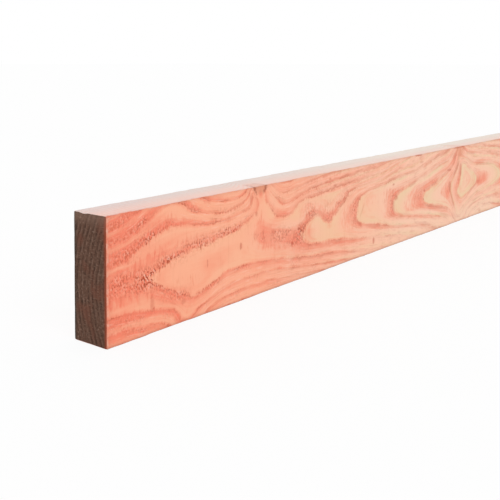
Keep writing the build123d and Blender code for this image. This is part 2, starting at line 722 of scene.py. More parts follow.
@dataclass(frozen=True)
class SawnFaceFinish:
    """The four long sides: rough-sawn softwood, dyed orange by the treatment.

    Attributes:
        near: Colours at the ends of the stud, where the treatment soaked in most.
        far: Colours away from the ends.
        soak_length: How far from an end the colours change from one to the other.
        wash_length: How far from an end the wood between the bands is red too.
        unreached: Dry wood between the bands that the treatment hardly reached.
        painted_sheen_front: Painted sheen on the front of the narrow edge on top, pale as the light
            from above makes it.
        painted_sheen_back: Painted sheen on the back of that edge, paler and greyer.
        painted_sheen_dry: What that painted sheen tends to where the treatment soaked in less.
        knot_heart: The wood of the knots.
        knot_bark: The dark rim of the knots.
        fibre_highlight_and_fray: Painted highlights on loose and raised fibres, and the pale frayed
            fibres beside the end cuts.
        grime: Painted shade along the lower corners, also the colour of the darker rims along the
            ends and the top edge's front corner.
        bruise: The small marks on the front face.
        narrow_ring: How wide a ring that counts as narrow is, where it meets the surface.
        wide_ring: How wide a ring that counts as wide is.
        line_width: How wide the hard line on the inner side of a band is.
        edge_wander: How far that line strays to each side.
        edge_softness: How far the band's colour takes to grow, on each side of that line.
        teeth: Strokes that the saw tore across the grain.
        fibres: Torn fibres.
        clumps: Where torn fibres gather.
        mottle: Small patches of more and less dye.
        streaks: Streaks along the length.
        grain_length: How long a streak that follows the rings is.
        grain_lines: How many such streaks lie side by side in one ring.
        dash_length: How long a short fibre that stands out of the grain is.
        band_length: How far along the stud a ring's band stays strong or weak.
        torn_reach: How far from a ring's hard line fibres are torn.
        frayed_width: How wide the pale rim of loose fibres beside each end cut is.
        kerf: The saw's fine marks across the length.
        soak: The ragged front of the dye.
        mark_depth: How far behind the front face its small marks reach.
        mark_fray: How ragged the edges of those marks are.
        surface: How the faces take the light.
    """

    near: DyedWood = DyedWood(
        display_colour(249, 175, 142),
        display_colour(250, 180, 146),
        display_colour(244, 134, 106),
        display_colour(206, 106, 74),
        display_colour(184, 80, 50),
    )
    far: DyedWood = DyedWood(
        display_colour(247, 201, 175),
        display_colour(237, 206, 170),
        display_colour(241, 148, 122),
        display_colour(200, 120, 94),
        display_colour(194, 116, 92),
    )
    soak_length: float = 0.70
    wash_length: float = 0.12
    unreached: Colour = display_colour(245, 209, 184)
    # The colours of the painted sheen that the light from above gives the top edge
    painted_sheen_front: Colour = display_colour(239, 207, 196)
    painted_sheen_back: Colour = display_colour(219, 211, 208)
    painted_sheen_dry: Colour = display_colour(232, 227, 217)
    knot_heart: Colour = display_colour(220, 148, 116)
    knot_bark: Colour = display_colour(142, 56, 28)
    fibre_highlight_and_fray: Colour = display_colour(255, 204, 180)
    # Painted shade of the lower corners, also the colour of the darker rims along the ends and the
    # top front corner
    grime: Colour = display_colour(150, 92, 72)
    bruise: Colour = display_colour(186, 56, 30)
    narrow_ring: float = 8 * MM
    wide_ring: float = 34 * MM
    line_width: float = 2.4 * MM
    edge_wander: float = 4 * MM
    edge_softness: float = 2.5 * MM
    teeth: Texture = Texture((3.0 * MM, 12 * MM, 12 * MM), 1.5)
    fibres: Texture = Texture((2.0 * MM, 3.0 * MM, 3.0 * MM), 2.0, 7.3)
    clumps: Texture = Texture((26 * MM, 16 * MM, 16 * MM), 2.0, 3.1)
    mottle: Texture = Texture((14 * MM, 9 * MM, 9 * MM), 3.0, 5.7)
    streaks: Texture = Texture((110 * MM, 3.2 * MM, 3.2 * MM), 2.0, 2.2)
    grain_length: float = 70 * MM
    grain_lines: float = 4.0
    dash_length: float = 18 * MM
    band_length: float = 130 * MM
    torn_reach: float = 9 * MM
    frayed_width: float = 2.8 * MM
    kerf: Texture = Texture((1.5 * MM, 70 * MM, 70 * MM), 1.0, 8.8)
    soak: Texture = Texture((120 * MM, 60 * MM, 60 * MM), 1.0, 9.9)
    mark_depth: float = 3 * MM
    mark_fray: float = 1.6
    surface: DullSurface = DullSurface(0.74, 0.25, 0.25, 0.7 * MM)

    def material(self, low: Vector, high: Vector) -> bpy.types.Material:
        """Makes the material.

        Args:
            low: The lowest corner of the stud's box.
            high: The highest corner of the stud's box.

        Returns:
            The new material.
        """
        return SawnFaceShader(self, low, high).build()


class SawnFaceShader:
    """The node tree of the sawn faces, worked out in steps that leave signals for the later ones.

    Attributes:
        from_end: How far a place is from the nearer end.
        dryness: How little of the treatment reached it, from 0 to 1.
        wash: Where the wood between the bands is red too.
        colours: The colours of the wood there.
        wide: Where a ring is wide on the surface.
        narrow: Where a ring is narrow on the surface.
        dry_lines: Where a ring is narrow and dry.
        into_ring: How far out in its ring a place is, from 0 to 1.
        past_edge: How far out from the ring's hard line it is.
        band: The soft band of each ring.
        edge: The hard line on the inner side of the band.
        half_ring: A fainter band in the middle of each narrow ring.
        strength: Where along the stud a ring's band is strong.
        rough: Where fibres are torn.
        pits: The dark pits that torn fibres leave: dark dyed fibres, and in part their painted
            shade.
        painted_glints: Painted highlights beside those pits, so that each pair reads as lit relief.
    """

    from_end: Signal
    dryness: Signal
    wash: Signal
    colours: DyedWood
    wide: Signal
    narrow: Signal
    dry_lines: Signal
    into_ring: Signal
    past_edge: Signal
    band: Signal
    edge: Signal
    half_ring: Signal
    strength: Signal
    rough: Signal
    pits: Signal
    painted_glints: Signal

    def __init__(self, finish: SawnFaceFinish, low: Vector, high: Vector) -> None:
        """Starts a material and adds its textures.

        Args:
            finish: The finish that it shows.
            low: The lowest corner of the stud's box.
            high: The highest corner of the stud's box.
        """
        bench, self.made = ShaderBench.for_material("rough_sawn_timber")
        self.bench, self.finish = bench, finish
        self.low, self.high = low, high
        self.along, self.across, self.up = bench.axes()
        self.ring, self.width = bench.layer(Layer.RING), bench.layer(Layer.RING_WIDTH)
        self.scarred, soaked = bench.layer(Layer.TORN), bench.layer(Layer.SOAKED)
        self.dyed = soaked.larger(0.0)
        self.spared = self.dyed - soaked
        self.teeth, self.fibres = bench.noise(finish.teeth), bench.noise(finish.fibres)
        self.clumps, self.mottle = bench.noise(finish.clumps), bench.noise(finish.mottle)
        self.streaks, self.kerf = bench.noise(finish.streaks), bench.noise(finish.kerf)

    def soak_in(self) -> None:
        """Works out how far the dye soaked in from the ends, and the colours that it left."""
        finish = self.finish
        soak = self.bench.noise(finish.soak)
        self.from_end = self.high.x - self.along.size()
        self.dryness = (self.from_end / finish.soak_length + soak.swing(0.5)).rise(0.06, 0.94)
        self.wash = (self.from_end / finish.wash_length + self.mottle.swing(0.8)).rise(1.0, 0.0)
        self.colours = finish.near.mixed(self.bench, self.dryness, finish.far)

    def find_bands(self) -> None:
        """Works out the soft bands of the rings: sharp on the inner side, torn on the outer."""
        finish, dryness, ring, width = self.finish, self.dryness, self.ring, self.width
        self.wide = wide = width.rise(finish.narrow_ring, finish.wide_ring)
        self.narrow = narrow = 1 - wide
        self.dry_lines = dryness * narrow

        # Where a place is in its ring, once the ring's lines stray
        wobble = self.mottle.swing(0.5 + self.scarred * 1.4) * (1 - wide * 0.8)
        strokes = self.teeth.swing(0.5 + wide * 1.5 * (1 - dryness * 0.7))
        stray = (self.fibres - TEXTURE_MIDDLE + strokes) * finish.edge_wander / width + wobble
        self.into_ring = into_ring = (ring + stray).fraction()
        self.past_edge = past_edge = into_ring * width / (1 + dryness)
        before_edge = (1 - into_ring) * width / (1 + dryness)

        # How far out in its ring the band reaches, and what leads up to it from the ring before
        tail = 0.5 + self.bench.by_ring(ring).swing(0.2) + self.wash * 0.15
        tail = tail + (self.teeth - 0.45) * (0.3 + wide * 0.9) * (1 - dryness * 0.5)
        tail = tail - self.spared * narrow * 0.4
        slope = (1 - into_ring / tail.larger(0.12)).held()
        lead = into_ring.rise(0.78, 1.0) * narrow * (0.8 - dryness * 0.5)
        lead = lead.larger(before_edge.rise(finish.edge_softness, 0.0) * 0.45)
        band = slope * (2 - slope) * (0.45 + past_edge.rise(0.0, finish.edge_softness) * 0.55)
        self.band = band.larger(lead)
        self.edge = past_edge.rise(finish.line_width, 0.1 * finish.line_width)
        self.half_ring = (ring * 2 + stray * 2).fraction().rise(0.4, 0.0) * narrow
        self.strength = self.bench.grain(ring, finish.band_length, 0.8).rise(0.36, 0.64)

    def find_tears(self) -> None:
        """Works out the torn fibres: pits, dark in part with painted shade, with a painted highlight
        beside each.
        """
        finish, band, wide = self.finish, self.band, self.wide
        rough = self.past_edge.rise(finish.torn_reach, 0.15 * finish.torn_reach) * 0.35
        rough = rough + band * wide * 0.3
        rough = rough * (self.clumps + wide * 0.1).rise(0.46, 0.70) * (1 - self.dryness * 0.65)
        self.rough = rough + self.scarred * (0.35 + band * 0.65)
        self.pits = self.fibres.rise(0.50, 0.60)
        # The painted highlight: the same texture moved a little, lit where the pit beside it is not
        beside = self.bench.noise(finish.fibres, 0.35)
        self.painted_glints = (beside.rise(0.50, 0.60) - self.pits).held()

    def dye_share(self) -> Signal:
        """Gives how much of the band's colour the wood has at each place."""
        finish, band, dryness, dry_lines = self.finish, self.band, self.dryness, self.dry_lines
        grain = self.bench.grain(self.ring, finish.grain_length, finish.grain_lines)
        hairs = self.bench.grain(self.ring, finish.grain_length, 3 * finish.grain_lines)
        level = 0.42 - dry_lines * 0.3 + self.strength * (0.45 + dry_lines * 0.5)
        level = level + self.wide * 0.2 + self.clumps.swing(0.8) + self.wash * 0.25
        share = band * level * (1 - dry_lines * 0.5)
        share = share + self.half_ring * (0.22 - dryness * 0.16) + self.wash * 0.46
        share = share + self.dyed - self.spared * (1 - band * dry_lines * 0.9)
        share = share + self.mottle.swing(0.5) + grain.swing(0.9) + self.streaks.swing(0.3)
        return share + hairs.swing(0.3 + dryness * 0.9)

    def dyed_wood(self) -> Input:
        """Gives the colour of the dyed wood, with the lines and the loose fibres of its grain."""
        finish, bench, colours = self.finish, self.bench, self.colours
        band, wide, narrow, dry_lines = self.band, self.wide, self.narrow, self.dry_lines
        dashes = bench.grain(self.ring, finish.dash_length, 2 * finish.grain_lines)
        shreds = bench.grain(self.ring, finish.dash_length, 0.5 * finish.grain_lines)
        unsoaked = bench.grain(self.ring, finish.band_length, 1.3).rise(0.36, 0.64).larger(wide)
        late = self.into_ring.rise(0.5, 0.92) * (0.35 + wide.larger(self.dryness) * 0.65)
        drawn = 0.1 + self.strength * self.clumps.rise(0.38, 0.60) * 0.6 + self.dyed * 0.6
        strokes = (band * wide * 0.25 + self.scarred * 0.45) * self.teeth.rise(0.56, 0.70)
        return bench.coats(
            colours.pale,
            (late * unsoaked, colours.clear),
            (self.spared * dry_lines * 1.6, finish.unreached),
            (self.dye_share(), colours.band),
            (self.edge * drawn * (1 - self.dryness * 0.4), colours.line),
            (band * dry_lines * (0.1 + self.strength * 0.24), colours.line),
            # Painted highlights on short raised fibres, with darker fibres beside them
            (dashes.rise(0.57, 0.72) * narrow * 0.4, finish.fibre_highlight_and_fray),
            (dashes.rise(0.43, 0.28) * narrow * 0.25, colours.line),
            # The same on coarser fibres where the rings are narrow and dry: painted highlights and
            # darker fibres
            (shreds.rise(0.56, 0.70) * dry_lines * 0.4, finish.fibre_highlight_and_fray),
            (shreds.rise(0.42, 0.28) * dry_lines * 0.25, colours.line),
            (self.kerf.rise(0.55, 0.8) * 0.08, colours.line),
            (strokes, colours.line),
        )

    def torn_wood(self, wood: Input) -> Input:
        """Gives the colour of the wood with its torn fibres and their painted highlights, small
        marks and frayed ends.

        Args:
            wood: The colour of the dyed wood.

        Returns:
            The new colour.
        """
        finish = self.finish
        frayed = self.from_end.rise(finish.frayed_width, 0.4 * finish.frayed_width)
        loose = (self.mottle + self.fibres - TEXTURE_MIDDLE).rise(0.3, 0.75)
        return self.bench.coats(
            wood,
            (self.rough * self.pits, self.colours.fleck),
            # Painted highlights beside the pits
            (self.rough * self.painted_glints * 0.6, finish.fibre_highlight_and_fray),
            (self.marked(), finish.bruise),
            # Pale frayed fibres beside each end cut, in the same colour as the painted highlights
            (frayed * loose * 0.6, finish.fibre_highlight_and_fray),
        )

    def marked(self) -> Signal:
        """Gives how dark the small marks on the front face are at each place, from 0 to 1."""
        front, depth = self.low.y, self.finish.mark_depth
        unit = face_unit(self.low, self.high)
        right = (self.along - self.low.x) / (unit * DRAWN_LENGTH)
        above = (self.up - self.low.z) / unit
        fray = self.fibres.swing(self.finish.mark_fray)
        shades = []
        for mark in MARKS:
            beside, over = mark.offsets(right, above)
            apart = beside * beside + over * over + fray
            shades.append(apart.rise(1.3, 0.1) * mark.darkness)
        return reduce(Signal.larger, shades) * self.across.rise(front + depth, front + 0.5 * depth)

    def weathered(self, wood: Input) -> Input:
        """Gives the wood's colour with the top's painted sheen, the knots, and painted shade and
        dark rims.

        Args:
            wood: The colour of the fresh wood.

        Returns:
            The new colour.
        """
        finish, bench = self.finish, self.bench
        # Painted sheen of the light from above on the top edge: pale at its front, greyer behind,
        # and paler where less dye soaked in
        behind = self.across.rise(self.low.y, self.high.y) + self.streaks.swing(0.5)
        sheen_colour = bench.blend(behind, finish.painted_sheen_front, finish.painted_sheen_back)
        sheen_colour = bench.blend(self.dryness * (0.35 + behind * 0.5), sheen_colour, finish.painted_sheen_dry)
        lit = bench.layer(Layer.TOP_SHEEN)
        faded = (lit + self.mottle.swing(0.9) + self.teeth.swing(0.5)).rise(0.3, 0.7)
        faded = faded * (lit * 5).held()
        ragged = self.mottle.swing(0.5) + self.fibres.swing(0.5)
        heart = (bench.layer(Layer.HEART) + ragged * 0.6).rise(0.15, 0.9)
        bark = (bench.layer(Layer.BARK) + ragged).rise(0.35, 1.0)
        return bench.coats(
            wood,
            (faded * (0.95 - self.band * 0.12 - self.edge * 0.15), sheen_colour),
            (heart * (0.8 - faded * 0.5), finish.knot_heart),
            (bark * (0.85 - faded * 0.55), finish.knot_bark),
            # Painted shade along the lower corners, and darker rims along the ends and the top front
            # corner
            (bench.layer(Layer.SHADE_AND_DARK_RIMS) * (0.55 + self.mottle * 0.9), finish.grime),
        )

    def build(self) -> bpy.types.Material:
        """Takes the steps in order.

        Returns:
            The finished material.
        """
        self.soak_in()
        self.find_bands()
        self.find_tears()
        wood = self.weathered(self.torn_wood(self.dyed_wood()))
        height = self.teeth * 0.30 + self.mottle * 0.25 + self.kerf * 0.12
        height = height - self.rough * self.pits * 0.55 + self.rough * self.painted_glints * 0.3
        self.finish.surface.end_tree(self.bench, wood, self.teeth, height)
        return self.made


@dataclass(frozen=True)
class EndGrainFinish:
    """The crosscut ends: open end grain, dark with treatment, and darker still with painted shade.

    Attributes:
        soft: The soft part of each ring.
        hard: The hard, darker line of each ring.
        dust: Sawdust and dry fibres caught in the pores.
        tint: Redder patches.
        stain: The dye that shows along the front.
        soot: The greyed wood along the back.
        edge_width: How far in from the front and the back the end is tinted.
        specks: Pores and specks of dust.
        scratches: Scratches of the crosscut saw.
        blotches: Darker and lighter blotches.
        patches: Where the rings show and where dirt hides them.
        surface: How the ends take the light.
    """

    # These colours are the dark treated end grain, painted darker still as painted shade
    soft: Colour = display_colour(100, 71, 57)
    hard: Colour = display_colour(54, 33, 22)
    dust: Colour = display_colour(148, 118, 102)
    tint: Colour = display_colour(116, 72, 56)
    stain: Colour = display_colour(160, 70, 42)
    soot: Colour = display_colour(56, 52, 45)
    edge_width: float = 5.5 * MM
    specks: Texture = Texture((2.0 * MM, 2.0 * MM, 2.4 * MM), 2.0)
    scratches: Texture = Texture((4 * MM, 6 * MM, 1.1 * MM), 1.0, 4.2)
    blotches: Texture = Texture((6 * MM, 4 * MM, 9 * MM), 2.0, 6.1)
    patches: Texture = Texture((22 * MM, 18 * MM, 26 * MM), 1.0, 2.5)
    surface: DullSurface = DullSurface(0.85, 0.15, 0.2, 0.7 * MM)

    def material(self, low: Vector, high: Vector) -> bpy.types.Material:
        """Makes the material.

        Args:
            low: The lowest corner of the stud's box.
            high: The highest corner of the stud's box.

        Returns:
            The new material.
        """
        bench, material = ShaderBench.for_material("dark_end_grain")
        ring, border = bench.layer(Layer.RING), self.edge_width
        _, across, up = bench.axes()
        specks, scratches = bench.noise(self.specks), bench.noise(self.scratches)
        blotches, patches = bench.noise(self.blotches), bench.noise(self.patches)
        into_ring = (ring + specks.swing(0.45) + blotches.swing(0.7)).fraction()
        late = into_ring.rise(0.55, 0.0).larger(into_ring.rise(0.8, 1.0))
        early = into_ring.rise(0.35, 0.65) * into_ring.rise(0.95, 0.75)
        showing = 0.3 + patches.rise(0.36, 0.6) * 0.5
        wood = bench.coats(
            self.soft,
            (late * showing * 0.8 + blotches.swing(1.5), self.hard),
            (early * blotches.rise(0.4, 0.65) * 0.35, self.dust),
            (patches.rise(0.5, 0.7) * 0.6, self.tint),
            (scratches.rise(0.60, 0.74) * 0.4, self.dust),
            (specks.rise(0.57, 0.71) * patches.rise(0.58, 0.38) * 0.6, self.dust),
            (specks.rise(0.44, 0.30) * 0.6, self.hard),
            (across.rise(low.y + border, low.y), self.stain),
            (across.rise(high.y - border, high.y) * 0.7, self.soot),
            (up.rise(high.z - 3 * border, high.z) * 0.4, self.dust),
        )
        height = specks * 0.6 + scratches * 0.4 + blotches * 0.3
        self.surface.end_tree(bench, wood, specks, height)
        return material


@dataclass
class GrowthRings:
    """The growth rings of the log, as a field through the timber.

    Attributes:
        low: The lowest corner of the stud's box.
        high: The highest corner of the stud's box.
        pith_height: How far up the face the pith lies, in hundredths of the depth.
        pith_distance: How far in front of the front face the pith lies, in the same unit.
        ring_pitch: How wide one ring is, in the same unit.
        line_reach: How far a drawn ring line bends the field up the face, in the same unit.
        line_stretch: How much further along the stud than up the face it does so.
        ease: How far the field may pass beside a drawn line, as a share of a ring.
        back_loss: How much of the drawn lines' hold is lost through to the back face.
        heart_blur: How far to each side the heart line is averaged, in hundredths of the depth.
        blur_samples: How many places that average takes in.
        rim_place: Where the dark rim of a knot lies, as a share of its half size.
        rim_width: How wide that rim is, in the same share.
        rim_gap: How far to each side of a knot's middle its rim is thinner, in the same share.
        rim_least: How much of the rim is left straight above and below that middle.
        heart_reach: How far out the knot wood reaches, in the same share.
        heart_fade: Over how much of that it thins out.
        batches: How many parts the places are worked out in, to spare memory.
    """

    low: Vector
    high: Vector
    pith_height: float = 42.0
    pith_distance: float = 125.0
    ring_pitch: float = 4.4
    line_reach: float = 100.0
    line_stretch: float = 1.8
    ease: float = 0.004
    back_loss: float = 0.6
    heart_blur: float = 18.0
    blur_samples: int = 9
    rim_place: float = 0.9
    rim_width: float = 0.3
    rim_gap: float = 0.6
    rim_least: float = 0.25
    heart_reach: float = 1.4
    heart_fade: float = 0.8
    batches: int = 40
    _nodes: np.ndarray = field(init=False, repr=False)
    _weights: np.ndarray = field(init=False, repr=False)

    def __post_init__(self) -> None:
        """Fits the field to the drawn ring lines."""
        drawn = np.array([sample for line in RING_LINES for sample in self._along_line(line)])
        self._nodes = drawn[:, :2]
        gap = drawn[:, 2] - self._straight_log(drawn[:, 0], drawn[:, 1], np.zeros(len(drawn)))
        pull = self._pull(self._nodes)
        self._weights = np.linalg.solve(pull + self.ease * np.eye(len(pull)), gap)

    @property
    def unit(self) -> float:
        """A hundredth of the stud's depth."""
        return face_unit(self.low, self.high)

    def _along_line(self, line: RingLine, step: float = 5.0) -> list[tuple[float, float, float]]:
        """Divides a drawn line.

        Args:
            line: The ring line.
            step: The largest gap between two places on it, in hundredths of the depth.

        Returns:
            Each place on it, as along, up and ring.
        """
        places = []
        for start, end in zip(line.points, line.points[1:]):
            run = math.hypot((end[0] - start[0]) / self.line_stretch, end[1] - start[1])
            parts = max(1, int(run // step))
            for part in range(parts):
                share = part / parts
                spot = [a + (b - a) * share for a, b in zip(start, end)]
                places.append((spot[0], spot[1], line.ring))
        return places + [(*line.points[-1], line.ring)]

    def _pull(self, places: np.ndarray) -> np.ndarray:
        """Gives how strongly each drawn place holds the field at each place asked for.

        Args:
            places: Places on the face, as along and up.

        Returns:
            One row for each place, and one column for each drawn place.
        """
        apart = (places[:, None] - self._nodes[None]) / (self.line_stretch, 1.0)
        gap = np.minimum(np.hypot(apart[..., 0], apart[..., 1]) / self.line_reach, 1.0)
        # A smooth hump: 1 where the two meet, and 0 from the reach outwards
        return (1 - gap) ** 4 * (4 * gap + 1)

    def _climb(self, knot: Knot, depth: np.ndarray) -> np.ndarray:
        """Gives how far up a knot has risen at a depth behind the front face."""
        return depth * (knot.up - self.pith_height) / self.pith_distance

    def _straight_log(self, along: np.ndarray, up: np.ndarray, depth: np.ndarray) -> np.ndarray:
        """Gives the ring number in a log with only its taper and its branches.

        Args:
            along: Distance from the near end, in hundredths of the depth.
            up: Height above the floor, in the same unit.
            depth: Distance behind the front face, in the same unit.

        Returns:
            The ring number at each place.
        """
        stations, heart = np.array(HEART_LINE).T
        shifts = np.linspace(-self.heart_blur, self.heart_blur, self.blur_samples)
        ring = np.mean([np.interp(along + shift, stations, heart) for shift in shifts], axis=0)
        radius = np.hypot(self.pith_distance + depth, up - self.pith_height) - self.pith_distance
        ring = ring + radius / self.ring_pitch
        for knot in KNOTS:
            beside = (along - knot.along) / knot.reach_along
            above = (up - knot.up - self._climb(knot, depth)) / knot.reach_up
            ring = ring - knot.pull * np.exp(-np.hypot(beside, above))
        return ring

    def local(self, places: np.ndarray) -> tuple[np.ndarray, np.ndarray, np.ndarray]:
        """Turns places in metres into along, up and depth, in hundredths of the stud's depth."""
        shares = (places - np.array(self.low)) / self.unit
        return shares[:, 0] / DRAWN_LENGTH, shares[:, 2], shares[:, 1]

    def numbers(self, places: np.ndarray) -> np.ndarray:
        """Gives the ring number at places in the timber.

        Args:
            places: The places, as rows of X, Y and Z.

        Returns:
            One number for each place.
        """
        along, up, depth = self.local(places)
        ring = self._straight_log(along, up, depth)
        on_face = np.stack([along, up], axis=1)
        parts = np.array_split(on_face, self.batches)
        drawn = np.concatenate([self._pull(part) @ self._weights for part in parts])
        thickness = (self.high.y - self.low.y) / self.unit
        return ring + drawn * (1 - self.back_loss * depth / thickness)

    def knots(self, places: np.ndarray) -> tuple[np.ndarray, np.ndarray]:
        """Gives how much of each place is knot.

        Args:
            places: The places, as rows of X, Y and Z.

        Returns:
            The share of dark rim and the share of knot wood at each place.
        """
        along, up, depth = self.local(places)
        bark, heart = np.zeros(len(places)), np.zeros(len(places))
        for knot in KNOTS:
            beside, above = knot.offsets(along, up - self._climb(knot, depth))
            apart = np.hypot(beside, above)
            rim = np.exp(-(((apart - self.rim_place) / self.rim_width) ** 2))
            rim *= np.clip(np.abs(beside) / self.rim_gap, self.rim_least, 1.0)
            bark = np.maximum(bark, knot.bark * rim)
            inside = np.clip((self.heart_reach - apart) / self.heart_fade, 0.0, 1.0)
            heart = np.maximum(heart, knot.heart * inside)
        return bark, heart


class Seed(IntEnum):
    """What the random draws start from, one number for each use."""

    WEAR = 11
    SAW = 23
    FIBRES = 37


class Wander:
    """A smooth random waviness, the same on every run."""

    def __init__(self, seed: Seed, longest: float, shortest: float, waves: int = 40) -> None:
        """Draws the waves.

        Args:
            seed: What the random draws start from.
            longest: The longest wavelength.
            shortest: The shortest wavelength.
            waves: How many waves are added up.
        """
        draw = np.random.default_rng(seed)
        lengths = np.exp(draw.uniform(math.log(shortest), math.log(longest), waves))
        headings = draw.uniform(0.0, 2 * math.pi, waves)
        self._steps = np.stack([np.cos(headings), np.sin(headings)]) * 2 * math.pi / lengths
        self._starts = draw.uniform(0.0, 2 * math.pi, waves)
        self._share = math.sqrt(2 / waves)

    def at(self, first: np.ndarray, second: np.ndarray) -> np.ndarray:
        """Gives the waviness at places on a plane, mostly between -2 and 2."""
        phases = np.outer(first, self._steps[0]) + np.outer(second, self._steps[1]) + self._starts
        return np.sin(phases).sum(axis=1) * self._share


@dataclass(frozen=True)
class Chip:
    """A splinter broken off the top corner of the near end by the crosscut saw.

    Attributes:
        behind_front: How far behind the front face its middle is.
        half_width: Half of its width through the thickness.
        depth: How deep it is, down from the top edge.
        length: How far along the stud it runs.
        height: How far down the end the wood round it is bent.
    """

    behind_front: float
    half_width: float
    depth: float
    length: float
    height: float

    def drop(self, places: np.ndarray, low: Vector, high: Vector) -> np.ndarray:
        """Gives how far the wood is pressed down at each place.

        Args:
            places: The places, as rows of X, Y and Z.
            low: The lowest corner of the stud's box.
            high: The highest corner of the stud's box.

        Returns:
            A distance for each place, 0 away from the chip.
        """
        beside = (places[:, 1] - low.y - self.behind_front) / self.half_width
        inward = (places[:, 0] - low.x) / self.length
        below = (high.z - places[:, 2]) / self.height
        shares = (1 - beside**2, 1 - inward, 1 - below)
        kept = np.prod([np.clip(share, 0.0, 1.0) for share in shares], axis=0)
        return self.depth * kept


@dataclass
class TimberStud:
    """The stud: one length of sawn timber.

    Attributes:
        low: The lowest corner of its box.
        high: The highest corner of its box.
        rings: The growth rings that run through it.
        arris: The radius of its four long corners.
        end_break: How much the corners round each end are broken.
        face_steps: How many cells the mesh has up each wide face.
        edge_steps: How many cells it has across each narrow edge.
        arris_steps: How many cells it has round each long corner.
        fine_length: How much of the length, from the near end, has the finest cells.
        middling_length: How far from the near end the middling cells reach.
        cell_lengths: The length of the finest, middling and coarsest cells.
        arris_wear: How far the long corners are worn in at the most worn places.
        wear_reach: How far from a long corner that wear reaches.
        wear_lengths: The longest and the shortest stretch of wear.
        wear_lines: How far off in the waviness the back and the top corners' lines of wear lie.
        saw_wave: How deep the waves that the saw left are.
        saw_lengths: The longest and the shortest of those waves.
        band_hollow: How far the rings' soft bands lie below the hard wood.
        hollow_range: How much of that depth torn fibres have, at least and at most.
        soft_share: How much of a ring, from its hard line outwards, is hollowed.
        widest_ring: The most that a ring's width on the surface counts for.
        top_turn: How far up a place faces where it starts to count as top edge, from 0 to 1.
        top_ease: How much further up it faces where it fully does.
        sheen_reach: How far the top's painted sheen reaches down the front face.
        sheen_strip: How wide the front of the top edge is, as a share of the thickness.
        sheen_shares: How strong the painted sheen is on the front of the top edge and on the top of
            the front face.
        dark_rim_reach: How far the painted shade reaches from the lower corners, and the darker rims
            from the ends.
        dark_rim_shares: How dark the painted shade along the lower corners is, and the darker rims
            along the ends and the top edge's front corner.
        patch_depth: How far behind the front face its patches fade out, in hundredths of the depth.
        patch_fall: How steeply a patch fades towards its rim.
        patch_flatness: How flat its middle is; 1 is a plain round hump.
        chip: The splinter that is missing from the near end.
        bake_strips: How many strips the length is cut into on the texture map.
        bake_gap: How far apart the strips are there.
        sharp_angle: The angle between two faces, in degrees, that is shaded as a corner.
    """

    low: Vector
    high: Vector
    rings: GrowthRings
    arris: float = 1.0 * MM
    end_break: float = 0.5 * MM
    face_steps: int = 48
    edge_steps: int = 18
    arris_steps: int = 4
    fine_length: float = 0.45
    middling_length: float = 0.95
    cell_lengths: tuple[float, float, float] = (2.2 * MM, 3.0 * MM, 6.8 * MM)
    arris_wear: float = 0.5 * MM
    wear_reach: float = 1.2 * MM
    wear_lengths: tuple[float, float] = (0.30, 0.012)
    wear_lines: tuple[float, float] = (0.7, 1.9)
    saw_wave: float = 0.12 * MM
    saw_lengths: tuple[float, float] = (0.25, 0.02)
    band_hollow: float = 0.2 * MM
    hollow_range: tuple[float, float] = (0.3, 1.0)
    soft_share: float = 0.5
    widest_ring: float = 80 * MM
    top_turn: float = 0.25
    top_ease: float = 0.6
    sheen_reach: float = 1.6 * MM
    sheen_strip: float = 0.1
    sheen_shares: tuple[float, float] = (0.4, 0.35)
    dark_rim_reach: tuple[float, float] = (1.2 * MM, 3.0 * MM)
    dark_rim_shares: tuple[float, float, float] = (0.75, 0.3, 0.32)
    patch_depth: float = 3.0
    patch_fall: float = 0.7
    patch_flatness: float = 1.5
    chip: Chip = Chip(31 * MM, 5 * MM, 0.9 * MM, 4 * MM, 6 * MM)
    bake_strips: int = 3
    bake_gap: float = 6 * MM
    sharp_angle: float = 35.0

    def section(self, inset: float = 0.0) -> np.ndarray:
        """Draws the outline of the section, from the front face's foot up, over the top and round.

        Args:
            inset: How far the outline is drawn in.

        Returns:
            Rows of Y, Z and the outward direction in Y and Z.
        """
        near, far = self.low.y + self.arris, self.high.y - self.arris
        foot, head = self.low.z + self.arris, self.high.z - self.arris
        corners = ((near, head), (far, head), (far, foot), (near, foot))
        rows = []
        for index, (y, z) in enumerate(corners):
            last_y, last_z = corners[index - 1]
            outward = math.radians(180 - 90 * index)
            steps = self.side_steps(index)
            for step in range(1, steps):
                share = step / steps
                rows.append((last_y + (y - last_y) * share, last_z + (z - last_z) * share, outward))
            for step in range(self.arris_steps + 1):
                rows.append((y, z, outward - math.pi / 2 * step / self.arris_steps))
        spots = np.array(rows)
        directions = np.stack([np.cos(spots[:, 2]), np.sin(spots[:, 2])], axis=1)
        return np.hstack([spots[:, :2] + directions * (self.arris - inset), directions])

    def side_steps(self, side: int) -> int:
        """Gives how many cells a side has: the front, top, back and bottom are 0 to 3."""
        return self.edge_steps if side % 2 else self.face_steps

    def stations(self) -> np.ndarray:
        """Gives where the mesh has a full section along X, closest together near the near end."""
        start, stop = self.low.x + self.end_break, self.high.x - self.end_break
        marks = (start, self.low.x + self.fine_length, self.low.x + self.middling_length, stop)
        runs = []
        for begin, end, cell in zip(marks, marks[1:], self.cell_lengths):
            runs.append(np.linspace(begin, end, round((end - begin) / cell), endpoint=False))
        return np.append(np.concatenate(runs), stop)

    def cap_partners(self) -> list[tuple[int, int]]:
        """Gives the cell corner of an end that lies next to each point of the outline.

        Returns:
            A row up the face and a column across the edge, for each point.
        """
        rows, columns = self.face_steps, self.edge_steps
        corners = ((rows, 0), (rows, columns), (0, columns), (0, 0))
        partners = []
        for index, corner in enumerate(corners):
            last = corners[index - 1]
            steps = self.side_steps(index)
            for step in range(1, steps):
                partners.append(tuple(a + (b - a) * step // steps for a, b in zip(last, corner)))
            partners += [corner] * (self.arris_steps + 1)
        return partners

